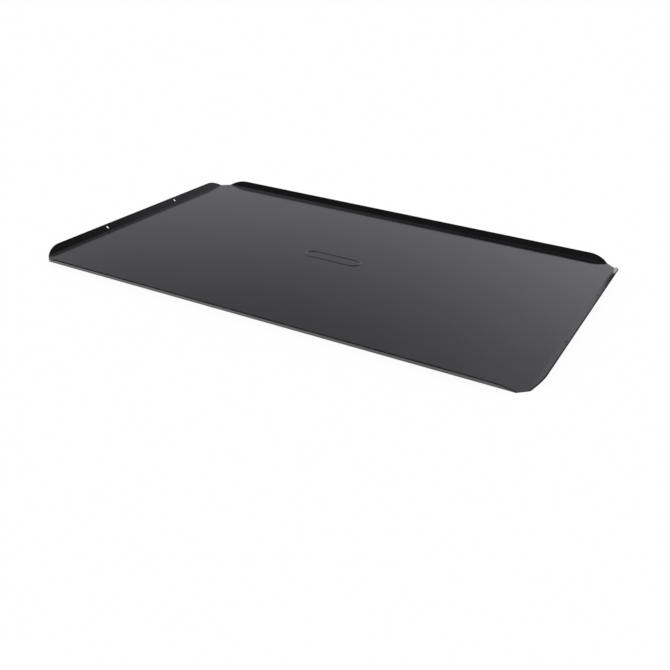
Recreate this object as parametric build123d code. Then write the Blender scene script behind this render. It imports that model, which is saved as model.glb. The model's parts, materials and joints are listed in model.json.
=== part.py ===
from build123d import *

import os
from math import cos, pi, radians, sin

# A baker's cookie sheet: one blank with cut corners, its four edges folded up
# and out into low flanges, coated all over, then punched for hanging.
# Millimetres and degrees, X along the sheet, Z up, the origin under its middle.

# Overall sizes of the finished, coated sheet.
sheet_length = 600
sheet_width = 400
sheet_height = 8.8

# The metal, and the film on each side of it.
metal_thickness = 1.4
coat_thickness = 0.05

# The folds: how far each flange is turned up, and the radius inside the bend.
flange_angle = 44
bend_radius = 1.2

# The leg of the cut across each corner of the flat.
corner_cut = 8.5

# The hanging holes, two in each short flange, placed from its top edge.
hole_radius = 2
hole_spacing = 142
hole_to_edge = 4.6

# How far, and through what angle, a cutting tool runs past what it cuts.
overrun = 5
overrun_angle = 5

thickness = metal_thickness + 2 * coat_thickness
lean = radians(flange_angle)

# The straight slope of a flange, and the flat that is left between the folds.
slope = (sheet_height - thickness - bend_radius * (1 - cos(lean))) / sin(lean)
fold_reach = (bend_radius + thickness) * sin(lean) + slope * cos(lean)
half_length = sheet_length / 2 - fold_reach
half_width = sheet_width / 2 - fold_reach

# The axis that an edge is folded round, and the fold's length in mid-metal.
axis_height = thickness + bend_radius
neutral_radius = bend_radius + thickness / 2
fold_length = neutral_radius * lean

# Each corner is cut at the same slant to both of its edges.
cut_angle = 360 / 8


def cut_leg(inset):
    """The leg of the corner cut in a layer whose cut edges are set in."""
    return corner_cut + inset / sin(radians(cut_angle))


def flat(top, bottom, inset):
    """The flat between the folds, from one depth below the upper face to another."""
    outline = Rectangle(2 * half_length, 2 * half_width)
    outline = chamfer(outline.vertices(), cut_leg(inset))
    return extrude(Pos(0, 0, thickness - bottom) * outline, bottom - top)


def corner_cutter(start):
    """What the corner cut takes off the end of a fold. Its face winds with the
    fold and stays square to the metal, as in a blank cut before it was bent."""
    turn = flange_angle + 2 * overrun_angle
    pitch = 2 * pi * neutral_radius
    run = neutral_radius * radians(turn)
    radii = (bend_radius / 2, bend_radius + thickness + overrun)
    rails = [Edge.make_helix(pitch, run, radius, lefthand=True).edge() for radius in radii]
    first = lean + radians(overrun_angle)
    frame = Plane(
        origin=(start - neutral_radius * first, 0, axis_height),
        x_dir=(0, sin(first), -cos(first)),
        z_dir=(1, 0, 0),
    )
    face = frame.location * Face.make_surface_from_curves(*rails)
    return extrude(face, run + overrun, dir=(1, 0, 0))


def fold(half_run, top, bottom, inset):
    """The bent strip along one edge. The edge runs along X and turns up towards Y."""
    start = half_run - cut_leg(inset)
    centre = (0, axis_height)
    down = -90
    inner = CenterArc(centre, bend_radius + top, down, flange_angle)
    outer = CenterArc(centre, bend_radius + bottom, down, flange_angle)
    section = make_face([inner, Line(inner @ 1, outer @ 1), outer, Line(outer @ 0, inner @ 0)])
    strip = extrude(Plane.YZ * section, start + overrun, both=True)
    cutter = corner_cutter(start)
    return strip - cutter - mirror(cutter, Plane.YZ)


def flange(half_run, top, bottom, inset, holes):
    """The slope above a fold. One arc carries each corner cut into its top edge."""
    foot = half_run - cut_leg(inset) - fold_length
    edge = slope - inset
    end = JernArc((foot, 0), (-1, 1), edge / (1 - cos(radians(cut_angle))), cut_angle)
    other_end = mirror(end, Plane.YZ)
    outline = make_face([Line((-foot, 0), (foot, 0)), end, Line(end @ 1, other_end @ 1), other_end])
    if holes:
        height = slope - hole_to_edge
        places = [(-hole_spacing / 2, height), (hole_spacing / 2, height)]
        outline -= Locations(*places) * Circle(hole_radius)
    reach = bend_radius + bottom
    foot_plane = Plane(
        origin=(0, reach * sin(lean), axis_height - reach * cos(lean)),
        x_dir=(1, 0, 0),
        z_dir=(0, -sin(lean), cos(lean)),
    )
    return extrude(foot_plane * outline, bottom - top)


def layer(top, bottom, inset):
    """One layer of the folded sheet, between two depths below its upper face,
    with its cut edges set in from the finished ones."""
    solid = flat(top, bottom, inset)
    for half_run, out, turns, holes in (
        (half_length, half_width, (0, 180), False),
        (half_width, half_length, (90, 270), True),
    ):
        edge = fold(half_run, top, bottom, inset) + flange(half_run, top, bottom, inset, holes)
        for turn in turns:
            solid += Rot(0, 0, turn) * Pos(0, out, 0) * edge
    return solid


metal_depth = coat_thickness + metal_thickness
metal_sheet = layer(coat_thickness, metal_depth, coat_thickness)

# The upper film also wraps the cut edges, while the holes go through all three layers.
upper_coat = layer(0, metal_depth, 0) - metal_sheet
underside_coat = layer(metal_depth, thickness, 0)

os.makedirs("parts", exist_ok=True)
for name, solid in {
    "metal_sheet": metal_sheet,
    "upper_nonstick_coat": upper_coat,
    "underside_nonstick_coat": underside_coat,
}.items():
    export_step(solid, f"parts/{name}.step")
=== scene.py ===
import json
import math

import bmesh
import bpy
from bpy.props import FloatProperty, FloatVectorProperty, IntProperty, PointerProperty
from bpy.types import Operator, Panel, PropertyGroup
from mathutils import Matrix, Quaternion, Vector


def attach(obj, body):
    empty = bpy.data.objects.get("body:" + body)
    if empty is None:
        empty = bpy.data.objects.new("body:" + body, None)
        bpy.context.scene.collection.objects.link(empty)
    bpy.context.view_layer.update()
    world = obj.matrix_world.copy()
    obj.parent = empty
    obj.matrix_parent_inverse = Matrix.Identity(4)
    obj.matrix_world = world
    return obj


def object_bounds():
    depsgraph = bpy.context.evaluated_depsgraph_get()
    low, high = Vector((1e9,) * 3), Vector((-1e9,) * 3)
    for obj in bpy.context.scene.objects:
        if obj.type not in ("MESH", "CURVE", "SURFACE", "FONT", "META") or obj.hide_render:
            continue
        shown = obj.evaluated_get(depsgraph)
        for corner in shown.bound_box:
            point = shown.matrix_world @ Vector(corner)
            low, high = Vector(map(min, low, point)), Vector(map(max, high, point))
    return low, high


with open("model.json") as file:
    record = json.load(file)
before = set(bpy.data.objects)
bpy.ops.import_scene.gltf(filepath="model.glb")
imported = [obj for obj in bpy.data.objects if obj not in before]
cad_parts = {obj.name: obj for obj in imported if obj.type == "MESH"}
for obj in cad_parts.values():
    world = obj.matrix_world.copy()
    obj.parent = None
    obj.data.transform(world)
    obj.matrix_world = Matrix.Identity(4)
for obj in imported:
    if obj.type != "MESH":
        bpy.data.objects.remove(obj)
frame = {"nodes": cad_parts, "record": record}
cad_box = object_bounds()

bl_info = {
    "name": "Cookie sheet",
    "version": (1, 0, 0),
    "blender": (4, 5, 0),
    "location": "View3D > Sidebar > Cookie sheet",
    "description": "Finishes a coated baker's cookie sheet and sets up its studio",
    "category": "Object",
}

WHITE = (1.0, 1.0, 1.0)

# Noise: its detail in even lumps, in plain ones and in finely broken ones, and its middle value.
EVEN, PLAIN, BROKEN = 1.0, 2.0, 3.0
NOISE_MIDDLE = 0.5

# The noise value at which each pattern on the film starts to show, and the one at which it is full.
CLOUD_RANGE = (0.3, 0.7)
TONE_SPOT_RANGE = (0.3, 0.7)
SCUFF_RANGE = (0.56, 0.8)

# How far a face looks outwards or down where it starts to count as looking outwards, as a flange's
# outer face and as the flat underside, and where it counts in full.
OUTWARD_RANGE = (0.15, 0.35)
OUTER_FACE_RANGE = (0.3, 0.6)
FLAT_UNDERSIDE_RANGE = (0.8, 0.95)


class Wire:
    """A shader socket that Python's arithmetic works on. Each step adds a Math node."""

    def __init__(self, graph, socket):
        self.graph = graph
        self.socket = socket

    def out(self, name):
        """Another output of the same node, by name or number."""
        return Wire(self.graph, self.socket.node.outputs[name])

    def maths(self, operation, *values):
        """A Math node with this operation on these values."""
        return self.graph.add("ShaderNodeMath", {"operation": operation}, dict(enumerate(values)))

    def __add__(self, other):
        return self.maths("ADD", self, other)

    def __radd__(self, other):
        return self.maths("ADD", other, self)

    def __sub__(self, other):
        return self.maths("SUBTRACT", self, other)

    def __rsub__(self, other):
        return self.maths("SUBTRACT", other, self)

    def __mul__(self, other):
        return self.maths("MULTIPLY", self, other)

    def __rmul__(self, other):
        return self.maths("MULTIPLY", other, self)

    def __pow__(self, other):
        return self.maths("POWER", self, other)

    def __rpow__(self, other):
        return self.maths("POWER", other, self)

    def at_least(self, other):
        """The larger of the two."""
        return self.maths("MAXIMUM", self, other)

    def step(self, low, high):
        """0 below low, 1 above high, and a smooth change between them."""
        return self.graph.add(
            "ShaderNodeMapRange",
            {"interpolation_type": "SMOOTHSTEP"},
            {"Value": self, "From Min": low, "From Max": high},
        )


class Graph:
    """The node tree of a finish or of the studio, emptied first."""

    def __init__(self, tree):
        self.tree = tree
        tree.nodes.clear()

    def add(self, kind, settings=None, sockets=None):
        """A node of this kind, with its settings first and then its sockets' values or links."""
        node = self.tree.nodes.new(kind)
        for name, value in (settings or {}).items():
            setattr(node, name, value)
        for name, value in (sockets or {}).items():
            if isinstance(value, Wire):
                self.tree.links.new(value.socket, node.inputs[name])
            else:
                node.inputs[name].default_value = value
        outputs = [socket for socket in node.outputs if socket.enabled]
        return Wire(self, outputs[0]) if outputs else None

    def place(self):
        """The point that is shaded, in metres from the object's origin."""
        return self.add("ShaderNodeTexCoord").out("Object")

    def noise(self, place, size, detail, stretch=(1.0, 1.0, 1.0)):
        """Noise from 0 to 1 whose lumps are about this size, in metres. A lump is longer along an
        axis whose stretch is under 1."""
        scaled = self.add(
            "ShaderNodeVectorMath",
            {"operation": "MULTIPLY"},
            {0: place, 1: tuple(share / size for share in stretch)},
        )
        return self.add(
            "ShaderNodeTexNoise",
            {"noise_dimensions": "3D"},
            {"Vector": scaled, "Scale": 1.0, "Detail": detail},
        )

    def blend(self, amount, first, second):
        """A colour that goes from the first to the second as the amount goes from 0 to 1. The Mix
        node's sockets go by number, because those for numbers and colours share their names."""
        tones = [tone if isinstance(tone, Wire) else (*tone, 1.0) for tone in (first, second)]
        mixed = {0: amount, 6: tones[0], 7: tones[1]}
        return self.add("ShaderNodeMix", {"data_type": "RGBA"}, mixed).out(2)

    def bump(self, height):
        """The face's direction once it has this height, in metres."""
        return self.add("ShaderNodeBump", {}, {"Distance": 1.0, "Strength": 1.0, "Height": height})

    def look(self):
        """Which way the face that is shaded looks."""
        return self.add("ShaderNodeTexCoord").out("Normal")

    def outward_face(self):
        """1 on the cut edges round the sheet and on the flanges' outer faces, which look outwards,
        and 0 on the flat and on the flanges' inner faces."""
        outward = self.add(
            "ShaderNodeVectorMath",
            {"operation": "MULTIPLY"},
            {0: self.place(), 1: (1 / cad_box[1].x, 1 / cad_box[1].y, 0.0)},
        )
        facing_out = self.add(
            "ShaderNodeVectorMath", {"operation": "DOT_PRODUCT"}, {0: self.look(), 1: outward}
        )
        return facing_out.out("Value").step(*OUTWARD_RANGE)


def new_finish(name):
    """A material with an empty graph."""
    material = bpy.data.materials.new(name)
    material.use_nodes = True
    return material, Graph(material.node_tree)


def coat_finish(name, coat):
    """The sprayed film: a very dark satin that flows out almost level. Over the sheared edges it is
    thin and pulled smooth, and its colour there is painted paler as a painted sheen, in random
    spots. On the flat underside the shelves have scuffed it."""
    material, graph = new_finish(name)
    place = graph.place()
    down = facing(graph, graph.look(), 0, -math.pi / 2)
    edge = graph.outward_face() * (1 - down.step(*OUTER_FACE_RANGE))
    tone_spot = graph.noise(place, coat.tone_spot_size, BROKEN)
    streak = graph.noise(place, coat.scuff_size, BROKEN, (1.0, coat.scuff_stretch, 1.0))
    scuff = streak.step(*SCUFF_RANGE) * down.step(*FLAT_UNDERSIDE_RANGE)
    cloud = graph.noise(place, coat.cloud_size, BROKEN)
    peel = graph.noise(place, coat.peel_size, EVEN)
    wave = graph.noise(place, coat.wave_size, EVEN)
    colour = graph.blend(cloud.step(*CLOUD_RANGE), coat.dark_colour, coat.pale_colour)
    # The cut edges are painted paler than the film as a painted sheen, with darker and paler random
    # spots. The scuffs on the flat underside take the same two tones.
    sheen_and_scuff = graph.blend(tone_spot.step(*TONE_SPOT_RANGE), coat.sheen_and_scuff_dark_colour, coat.sheen_and_scuff_pale_colour)
    colour = graph.blend(edge.at_least(scuff), colour, sheen_and_scuff)
    roughness = coat.roughness + (cloud - NOISE_MIDDLE) * coat.roughness_spread
    roughness = roughness - edge * coat.edge_gloss + scuff * coat.scuff_dullness
    height = peel * coat.peel_depth + wave * coat.wave_depth
    film = graph.add(
        "ShaderNodeBsdfPrincipled",
        {},
        {
            "Base Color": colour,
            "Roughness": roughness,
            "IOR": coat.index,
            "Normal": graph.bump(height),
        },
    )
    graph.add("ShaderNodeOutputMaterial", {}, {"Surface": film})
    return material


def bare_metal_finish(name, metal):
    """The darkened metal in the punched holes, with the grain and slow patches of rolled sheet."""
    material, graph = new_finish(name)
    place = graph.place()
    grain = graph.noise(place, metal.grain_size, PLAIN, (metal.grain_stretch, 1.0, 1.0))
    patch = graph.noise(place, metal.patch_size, PLAIN)
    colour = graph.blend(patch, metal.dark_colour, metal.pale_colour)
    roughness = metal.roughness + (grain - NOISE_MIDDLE) * metal.roughness_spread
    sheet = graph.add(
        "ShaderNodeBsdfPrincipled",
        {},
        {
            "Base Color": colour,
            "Metallic": 1.0,
            "Roughness": roughness,
            "Normal": graph.bump(grain * metal.grain_depth),
        },
    )
    graph.add("ShaderNodeOutputMaterial", {}, {"Surface": sheet})
    return material


def dress(node, material):
    """Gives a CAD node this finish in every slot."""
    slots = frame["nodes"][node].material_slots
    if not slots:
        raise RuntimeError(f"{node} has no material slot")
    for slot in slots:
        slot.material = material


class MetalSettings(PropertyGroup):
    """The dark bare metal that shows in the hanging holes."""

    dark_colour: FloatVectorProperty(
        name="Dark", description="The darker of the metal's two tones",
        subtype="COLOR", size=3, min=0, max=1, default=(0.030, 0.030, 0.032),
    )
    pale_colour: FloatVectorProperty(
        name="Pale", description="The paler of the metal's two tones",
        subtype="COLOR", size=3, min=0, max=1, default=(0.070, 0.069, 0.072),
    )
    roughness: FloatProperty(
        name="Roughness", description="How dull the metal is",
        subtype="FACTOR", min=0, max=1, default=0.42,
    )
    roughness_spread: FloatProperty(
        name="Roughness spread", description="How far the grain changes the roughness",
        subtype="FACTOR", min=0, max=1, default=0.2,
    )
    grain_size: FloatProperty(
        name="Grain", description="Width of the rolled grain", subtype="DISTANCE",
        min=0.00005, precision=5, default=0.0004,
    )
    grain_stretch: FloatProperty(
        name="Grain stretch", description="A grain's width as a share of its length",
        subtype="FACTOR", min=0.01, max=1, default=0.1,
    )
    patch_size: FloatProperty(
        name="Patches", description="Size of the metal's darker and paler patches",
        subtype="DISTANCE", min=0.0005, precision=4, default=0.0048,
    )
    grain_depth: FloatProperty(
        name="Grain depth", description="Depth of the rolled grain", subtype="DISTANCE",
        min=0, precision=6, default=0.00002,
    )


class CoatSettings(PropertyGroup):
    """The satin black film on a face of the sheet."""

    dark_colour: FloatVectorProperty(
        name="Dark", description="The darker of the film's two tones",
        subtype="COLOR", size=3, min=0, max=1, default=(0.0050, 0.0050, 0.0055),
    )
    pale_colour: FloatVectorProperty(
        name="Pale", description="The paler of the film's two tones",
        subtype="COLOR", size=3, min=0, max=1, default=(0.0066, 0.0065, 0.0072),
    )
    roughness: FloatProperty(
        name="Roughness", description="How satin the film is",
        subtype="FACTOR", min=0, max=1, default=0.12,
    )
    roughness_spread: FloatProperty(
        name="Roughness spread", description="How far the clouding changes the roughness",
        subtype="FACTOR", min=0, max=1, default=0.05,
    )
    # Painted sheen: the cut edges' two tones, paler than the film. The underside's scuffs share
    # them.
    sheen_and_scuff_dark_colour: FloatVectorProperty(
        name="Edge dark", description="The darker tone of the film over a sheared edge",
        subtype="COLOR", size=3, min=0, max=1, default=(0.010, 0.010, 0.0105),
    )
    sheen_and_scuff_pale_colour: FloatVectorProperty(
        name="Edge pale", description="The paler tone of the film over a sheared edge",
        subtype="COLOR", size=3, min=0, max=1, default=(0.030, 0.0295, 0.0305),
    )
    edge_gloss: FloatProperty(
        name="Edge gloss", description="How much smoother the film is over a sheared edge",
        subtype="FACTOR", min=0, max=1, default=0.07,
    )
    # The random spots pick between the two tones of the painted sheen and of the scuffs.
    tone_spot_size: FloatProperty(
        name="Nicks", description="Size of the worn spots along a sheared edge",
        subtype="DISTANCE", min=0.0005, precision=4, default=0.012,
    )
    scuff_size: FloatProperty(
        name="Scuffs", description="Width of the scuffs that the shelves leave",
        subtype="DISTANCE", min=0.0002, precision=4, default=0.002,
    )
    scuff_stretch: FloatProperty(
        name="Scuff stretch", description="A scuff's width as a share of its length",
        subtype="FACTOR", min=0.01, max=1, default=0.04,
    )
    scuff_dullness: FloatProperty(
        name="Scuff dullness", description="How much rougher the film is in a scuff",
        subtype="FACTOR", min=0, max=1, default=0.14,
    )
    index: FloatProperty(
        name="Index", description="Refractive index of the film", min=1, max=3, default=1.45,
    )
    cloud_size: FloatProperty(
        name="Clouding", description="Size of the clouds that the spray leaves",
        subtype="DISTANCE", min=0.001, default=0.045,
    )
    peel_size: FloatProperty(
        name="Peel", description="Size of the film's orange peel", subtype="DISTANCE",
        min=0.0001, precision=5, default=0.0022,
    )
    peel_depth: FloatProperty(
        name="Peel depth", description="Depth of the film's orange peel", subtype="DISTANCE",
        min=0, precision=7, default=0.000006,
    )
    wave_size: FloatProperty(
        name="Wave", description="Length of the rolled sheet's slow waves", subtype="DISTANCE",
        min=0.001, default=0.06,
    )
    wave_depth: FloatProperty(
        name="Wave depth", description="Depth of the rolled sheet's slow waves",
        subtype="DISTANCE", min=0, precision=6, default=0.00005,
    )


class OvalSettings(PropertyGroup):
    """The plain long oval bead pressed up in the middle of the baking face."""

    centre: FloatVectorProperty(
        name="Centre", description="Middle of the oval on the baking face",
        subtype="XYZ_LENGTH", size=2, precision=4, default=(-0.010, 0.008),
    )
    length: FloatProperty(
        name="Length", description="Length of the oval along the middle of its bead",
        subtype="DISTANCE", min=0.01, precision=4, default=0.072,
    )
    width: FloatProperty(
        name="Width", description="Width of the oval along the middle of its bead",
        subtype="DISTANCE", min=0.005, precision=4, default=0.019,
    )
    bead_width: FloatProperty(
        name="Bead width", description="Width of the bead from foot to foot",
        subtype="DISTANCE", min=0.0005, precision=4, default=0.0042,
    )
    bead_height: FloatProperty(
        name="Bead height", description="Height of the bead above the baking face",
        subtype="DISTANCE", min=0.0001, precision=5, default=0.0007,
    )
    sink: FloatProperty(
        name="Sink", description="How far the bead's underside lies below the baking face",
        subtype="DISTANCE", min=0, precision=6, default=0.00003,
    )
    steps: IntProperty(
        name="Steps", description="Divisions round the oval", min=16, max=1024, default=240,
    )
    ribs: IntProperty(
        name="Ribs", description="Divisions across the bead", min=4, max=64, default=16,
    )


class StageSettings(PropertyGroup):
    """The studio that the sheet lies in, and its camera."""

    floor_size: FloatProperty(
        name="Floor", description="Length of the floor's side", subtype="DISTANCE",
        min=1, default=60,
    )
    floor_gap: FloatProperty(
        name="Gap", description="How far the floor lies below the sheet", subtype="DISTANCE",
        min=0, precision=5, default=0.0001,
    )
    floor_colour: FloatVectorProperty(
        name="Floor colour", description="Colour of the floor",
        subtype="COLOR", size=3, min=0, max=1, default=(0.97, 0.97, 0.97),
    )
    shadow_share: FloatProperty(
        name="Shadow", description="How much of the floor's shadow the camera sees",
        subtype="FACTOR", min=0, max=1, default=0.05,
    )
    mirrored_shadow: FloatProperty(
        name="Mirrored shadow", description="How much of the floor's shadow mirrors see",
        subtype="FACTOR", min=0, max=1, default=0.72,
    )
    fill: FloatProperty(
        name="Fill", description="Level of the even light from all round",
        min=0, default=0.95,
    )
    ceiling: FloatProperty(
        name="Ceiling", description="Brightness of the dark studio in mirrors",
        min=0, default=0.081,
    )
    studio_tint: FloatVectorProperty(
        name="Studio tint", description="Tint of all that mirrors see of the studio",
        subtype="COLOR", size=3, min=0, max=1, default=(0.94, 0.93, 1.0),
    )
    window_level: FloatProperty(
        name="Window", description="Brightness of the broad window behind the sheet",
        min=0, default=0.26,
    )
    window_turn: FloatProperty(
        name="Window turn", description="How far the window stands round to the left",
        subtype="ANGLE", default=math.radians(18),
    )
    window_rise: FloatProperty(
        name="Window rise", description="Height of the window's middle over the horizon",
        subtype="ANGLE", default=math.radians(29.5),
    )
    window_spread: FloatProperty(
        name="Window spread", description="From the window's middle to its edge",
        subtype="ANGLE", default=math.radians(34.3),
    )
    window_softness: FloatProperty(
        name="Window softness", description="Width of the window's soft edge",
        subtype="ANGLE", default=math.radians(1),
    )
    glow_level: FloatProperty(
        name="Glow", description="Brightness of the glow in the window", min=0, default=0.58,
    )
    glow_turn: FloatProperty(
        name="Glow turn", description="How far the glow stands round to the left",
        subtype="ANGLE", default=math.radians(-0.7),
    )
    glow_rise: FloatProperty(
        name="Glow rise", description="Height of the glow's middle over the horizon",
        subtype="ANGLE", default=math.radians(26.5),
    )
    glow_falloff: FloatProperty(
        name="Glow falloff", description="How fast the glow falls off", min=0.1, default=23.5,
    )
    haze_level: FloatProperty(
        name="Haze", description="Brightness added low in the window", min=0, default=0.303,
    )
    haze_low: FloatProperty(
        name="Haze starts to fade", description="Height up to which the haze is full",
        subtype="ANGLE", default=math.radians(14.5),
    )
    haze_high: FloatProperty(
        name="Haze gone", description="Height at which the haze has gone",
        subtype="ANGLE", default=math.radians(27.9),
    )
    second_level: FloatProperty(
        name="Second window", description="Brightness of the window on the other side",
        min=0, default=0.35,
    )
    second_turn: FloatProperty(
        name="Second turn", description="How far the other window stands round to the left",
        subtype="ANGLE", default=math.radians(225),
    )
    second_rise: FloatProperty(
        name="Second rise", description="Height of the other window over the horizon",
        subtype="ANGLE", default=math.radians(20),
    )
    second_spread: FloatProperty(
        name="Second spread", description="From the other window's middle to its edge",
        subtype="ANGLE", default=math.radians(32),
    )
    high_level: FloatProperty(
        name="High lamp", description="Brightness of the lamp high on the left",
        min=0, default=0.75,
    )
    high_turn: FloatProperty(
        name="High turn", description="How far the high lamp stands round to the left",
        subtype="ANGLE", default=math.radians(60),
    )
    high_rise: FloatProperty(
        name="High rise", description="Height of the high lamp's middle over the horizon",
        subtype="ANGLE", default=math.radians(48),
    )
    high_spread: FloatProperty(
        name="High spread", description="From the high lamp's middle to its edge",
        subtype="ANGLE", default=math.radians(11),
    )
    side_level: FloatProperty(
        name="Side lamp", description="Brightness of the lamp low on the left",
        min=0, default=0.3,
    )
    side_turn: FloatProperty(
        name="Side turn", description="How far the side lamp stands round to the left",
        subtype="ANGLE", default=math.radians(70),
    )
    side_rise: FloatProperty(
        name="Side rise", description="Height of the side lamp's middle over the horizon",
        subtype="ANGLE", default=math.radians(24),
    )
    side_spread: FloatProperty(
        name="Side spread", description="From the side lamp's middle to its edge",
        subtype="ANGLE", default=math.radians(16),
    )
    sky_level: FloatProperty(
        name="Skylight", description="Brightness of the lamp overhead", min=0, default=0.5,
    )
    sky_turn: FloatProperty(
        name="Skylight turn", description="How far the skylight leans round to the left",
        subtype="ANGLE", default=math.radians(60),
    )
    sky_rise: FloatProperty(
        name="Skylight rise", description="Height of the skylight's middle over the horizon",
        subtype="ANGLE", default=math.radians(86),
    )
    sky_spread: FloatProperty(
        name="Skylight spread", description="From the skylight's middle to its edge",
        subtype="ANGLE", default=math.radians(10),
    )
    lamp_softness: FloatProperty(
        name="Lamp softness", description="Width of the soft edge of each smaller lamp",
        subtype="ANGLE", default=math.radians(22),
    )
    camera_azimuth: FloatProperty(
        name="Azimuth", description="How far the camera stands round to the right",
        subtype="ANGLE", default=math.radians(27.76),
    )
    camera_elevation: FloatProperty(
        name="Elevation", description="How far the camera looks down",
        subtype="ANGLE", default=math.radians(26.06),
    )
    camera_roll: FloatProperty(
        name="Roll", description="How far the camera is turned about its line of sight",
        subtype="ANGLE", default=math.radians(2.71),
    )
    camera_target: FloatVectorProperty(
        name="Target", description="The point on the floor that the camera looks at",
        subtype="XYZ_LENGTH", size=3, precision=4, default=(0.0682, -0.1915, 0),
    )
    camera_distance: FloatProperty(
        name="Distance", description="From the camera to the point it looks at",
        subtype="DISTANCE", min=0.1, precision=4, default=0.8925,
    )
    camera_lens: FloatProperty(
        name="Lens", description="Focal length of the camera", subtype="DISTANCE_CAMERA",
        min=1, default=47.61,
    )
    camera_shift: FloatProperty(
        name="Shift", description="Sideways shift of the camera's lens", default=0.0373,
    )


class SHEET_OT_finish_metal(Operator):
    """Gives the bare metal in the sheet's holes its dark rolled finish"""

    bl_idname = "cookie_sheet.finish_metal"
    bl_label = "Finish the bare metal"

    def execute(self, context):
        dress("metal_sheet", bare_metal_finish("bare_sheet_metal", context.scene.sheet_metal))
        return {"FINISHED"}


class SHEET_OT_finish_upper_coat(Operator):
    """Gives the film on the baking face and the cut edges its satin finish"""

    bl_idname = "cookie_sheet.finish_upper_coat"
    bl_label = "Finish the upper coat"

    def execute(self, context):
        dress("upper_nonstick_coat", coat_finish("upper_satin_film", context.scene.sheet_upper))
        return {"FINISHED"}


class SHEET_OT_finish_underside_coat(Operator):
    """Gives the film under the sheet its satin finish"""

    bl_idname = "cookie_sheet.finish_underside_coat"
    bl_label = "Finish the underside coat"

    def execute(self, context):
        dress(
            "underside_nonstick_coat",
            coat_finish("underside_satin_film", context.scene.sheet_underside),
        )
        return {"FINISHED"}


class SHEET_OT_press_oval(Operator):
    """Presses a plain oval bead up in the middle of the baking face"""

    bl_idname = "cookie_sheet.press_oval"
    bl_label = "Press the blank oval"

    def execute(self, context):
        oval = context.scene.sheet_oval
        mounts = frame["record"]["mounts"]
        level = next(mount["pos_m"][2] for mount in mounts if mount["name"] == "baking_face")
        mesh = bpy.data.meshes.new("blank_oval_bead")
        shape = bmesh.new()
        rings = [
            bead_section(shape, oval, level, math.tau * i / oval.steps) for i in range(oval.steps)
        ]
        for i, ring in enumerate(rings):
            after = rings[(i + 1) % len(rings)]
            for j in range(len(ring)):
                k = (j + 1) % len(ring)
                shape.faces.new((ring[j], after[j], after[k], ring[k]))
        bmesh.ops.recalc_face_normals(shape, faces=shape.faces)
        for face in shape.faces:
            face.smooth = True
        shape.to_mesh(mesh)
        shape.free()
        bead = bpy.data.objects.new("blank_oval_bead", mesh)
        context.scene.collection.objects.link(bead)
        finish = frame["nodes"]["upper_nonstick_coat"].material_slots[0].material
        bead.data.materials.append(finish)
        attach(bead, "root")
        return {"FINISHED"}


def bead_section(shape, oval, level, angle):
    """The loop of points round the bead's section, where the oval faces this way. The oval's long
    sides are straight, and the bead's top is a smooth rise from foot to foot."""
    outward = Vector((math.cos(angle), math.sin(angle)))
    straight = Vector((math.copysign((oval.length - oval.width) / 2, outward.x), 0))
    middle = Vector(oval.centre) + straight + outward * (oval.width / 2)
    loop = []
    for j in range(oval.ribs + 1):
        across = 2 * j / oval.ribs - 1
        rise = oval.bead_height * math.cos(math.pi * across / 2) ** 2
        point = middle + outward * (across * oval.bead_width / 2)
        loop.append(shape.verts.new((point.x, point.y, level + rise)))
    for side in (1, -1):
        point = middle + outward * (side * oval.bead_width / 2)
        loop.append(shape.verts.new((point.x, point.y, level - oval.sink)))
    return loop


class SHEET_OT_set_stage(Operator):
    """Lays the pale floor, lights it and sets the camera"""

    bl_idname = "cookie_sheet.set_stage"
    bl_label = "Set the stage"

    def execute(self, context):
        stage = context.scene.sheet_stage
        lay_floor(context, stage)
        light_world(context, stage)
        aim_camera(context, stage)
        context.scene.view_settings.view_transform = "Standard"
        return {"FINISHED"}


def lay_floor(context, stage):
    """A plain pale floor. The camera sees it white, with a faint shadow, and mirrors see more of
    the shadow."""
    mesh = bpy.data.meshes.new("floor")
    half = stage.floor_size / 2
    corners = [(-half, -half, 0), (half, -half, 0), (half, half, 0), (-half, half, 0)]
    mesh.from_pydata(corners, [], [(0, 1, 2, 3)])
    floor = bpy.data.objects.new("floor", mesh)
    floor.location.z = cad_box[0].z - stage.floor_gap
    context.scene.collection.objects.link(floor)
    material, graph = new_finish("pale_floor")
    path = graph.add("ShaderNodeLightPath")
    mirrored = path.out("Is Glossy Ray").at_least(path.out("Is Transmission Ray"))
    mirrored = mirrored * (1 - stage.mirrored_shadow)
    whiteness = mirrored.at_least(path.out("Is Camera Ray") * (1 - stage.shadow_share))
    plain = graph.add("ShaderNodeBsdfDiffuse", {}, {"Color": (*stage.floor_colour, 1.0)})
    white = graph.add("ShaderNodeEmission", {}, {"Color": (*WHITE, 1.0), "Strength": 1.0})
    surface = graph.add("ShaderNodeMixShader", {}, {0: whiteness, 1: plain, 2: white})
    graph.add("ShaderNodeOutputMaterial", {}, {"Surface": surface})
    mesh.materials.append(material)


# The round lamps that mirrors see beside the window, and what the stage's settings say of each.
LAMPS = ("second", "high", "side", "sky")
LAMP_PARTS = ("turn", "rise", "spread", "level")


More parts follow.
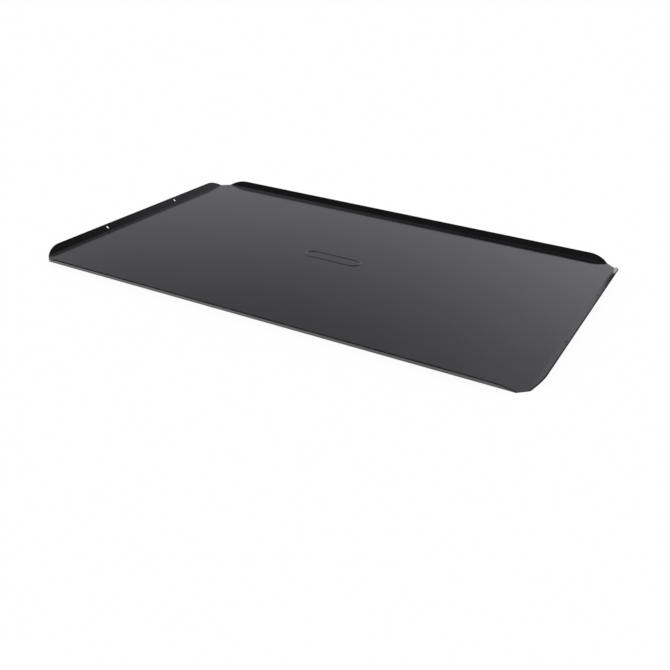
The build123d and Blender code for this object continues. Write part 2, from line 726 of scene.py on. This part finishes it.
def light_world(context, stage):
    """Even light from all round. The camera sees white, and mirrors see a dark studio with a broad
    window, brighter low down and in its glow, and soft lamps beside it."""
    world = bpy.data.worlds.new("studio")
    world.use_nodes = True
    context.scene.world = world
    graph = Graph(world.node_tree)
    path = graph.add("ShaderNodeLightPath")
    ray = graph.add("ShaderNodeTexCoord").out("Generated")
    glow = facing(graph, ray, stage.glow_turn, stage.glow_rise).at_least(0) ** stage.glow_falloff
    height = graph.add("ShaderNodeSeparateXYZ", {}, {0: ray}).out("Z")
    haze = 1 - height.step(math.sin(stage.haze_low), math.sin(stage.haze_high))
    turn, rise, spread = stage.window_turn, stage.window_rise, stage.window_spread
    window = disc(graph, ray, turn, rise, spread, stage.window_softness)
    mirrored = window * (stage.window_level + glow * stage.glow_level + haze * stage.haze_level)
    for lamp in LAMPS:
        turn, rise, spread, level = (getattr(stage, f"{lamp}_{part}") for part in LAMP_PARTS)
        mirrored = mirrored + disc(graph, ray, turn, rise, spread, stage.lamp_softness) * level
    mirrored = mirrored + stage.ceiling
    seen = path.out("Is Camera Ray").at_least(path.out("Is Transmission Ray"))
    glossy = path.out("Is Glossy Ray")
    level = seen + (1 - seen) * (glossy * mirrored + (1 - glossy) * stage.fill)
    tint = graph.blend(glossy, WHITE, stage.studio_tint)
    background = graph.add("ShaderNodeBackground", {}, {"Color": tint, "Strength": level})
    graph.add("ShaderNodeOutputWorld", {}, {"Surface": background})


def facing(graph, ray, turn, rise):
    """1 where the ray or face looks this way, and the cosine of the angle elsewhere."""
    way = (-math.sin(turn) * math.cos(rise), math.cos(turn) * math.cos(rise), math.sin(rise))
    dot = graph.add("ShaderNodeVectorMath", {"operation": "DOT_PRODUCT"}, {0: ray, 1: way})
    return dot.out("Value")


def disc(graph, ray, turn, rise, spread, softness):
    """1 inside a round window or lamp in this direction and 0 outside it, with a soft edge."""
    outer, inner = math.cos(spread + softness / 2), math.cos(spread - softness / 2)
    return facing(graph, ray, turn, rise).step(outer, inner)


def aim_camera(context, stage):
    """The camera, at the photograph's angle."""
    azimuth, elevation = stage.camera_azimuth, stage.camera_elevation
    back = Vector((
        math.sin(azimuth) * math.cos(elevation),
        -math.cos(azimuth) * math.cos(elevation),
        math.sin(elevation),
    ))
    lens = bpy.data.cameras.new("camera")
    lens.lens = stage.camera_lens
    lens.shift_x = stage.camera_shift
    camera = bpy.data.objects.new("camera", lens)
    camera.location = Vector(stage.camera_target) + back * stage.camera_distance
    camera.rotation_mode = "QUATERNION"
    roll = Quaternion((0, 0, 1), stage.camera_roll)
    camera.rotation_quaternion = back.to_track_quat("Z", "Y") @ roll
    context.scene.collection.objects.link(camera)
    context.scene.camera = camera


class SHEET_PT_panel(Panel):
    """The sheet's pieces and its stage"""

    bl_idname = "SHEET_PT_panel"
    bl_label = "Cookie sheet"
    bl_space_type = "VIEW_3D"
    bl_region_type = "UI"
    bl_category = "Cookie sheet"

    def draw(self, context):
        for name, operator in STEPS:
            box = self.layout.box()
            settings = getattr(context.scene, name)
            for prop in settings.bl_rna.properties:
                if prop.identifier not in ("rna_type", "name"):
                    box.prop(settings, prop.identifier)
            box.operator(operator.bl_idname)


# Each step's settings in the scene, and its operator, in the order they run.
STEPS = (
    ("sheet_metal", SHEET_OT_finish_metal),
    ("sheet_upper", SHEET_OT_finish_upper_coat),
    ("sheet_underside", SHEET_OT_finish_underside_coat),
    ("sheet_oval", SHEET_OT_press_oval),
    ("sheet_stage", SHEET_OT_set_stage),
)
GROUPS = {
    "sheet_metal": MetalSettings,
    "sheet_upper": CoatSettings,
    "sheet_underside": CoatSettings,
    "sheet_oval": OvalSettings,
    "sheet_stage": StageSettings,
}
CLASSES = (
    MetalSettings, CoatSettings, OvalSettings, StageSettings,
    *(operator for _, operator in STEPS), SHEET_PT_panel,
)


def register():
    for made in CLASSES:
        bpy.utils.register_class(made)
    for name, group in GROUPS.items():
        setattr(bpy.types.Scene, name, PointerProperty(type=group))


def unregister():
    for name in GROUPS:
        delattr(bpy.types.Scene, name)
    for made in reversed(CLASSES):
        bpy.utils.unregister_class(made)


def main():
    register()
    bpy.ops.cookie_sheet.finish_metal()
    bpy.ops.cookie_sheet.finish_upper_coat()
    bpy.ops.cookie_sheet.finish_underside_coat()
    bpy.ops.cookie_sheet.press_oval()
    bpy.ops.cookie_sheet.set_stage()


if __name__ == "__main__":
    main()
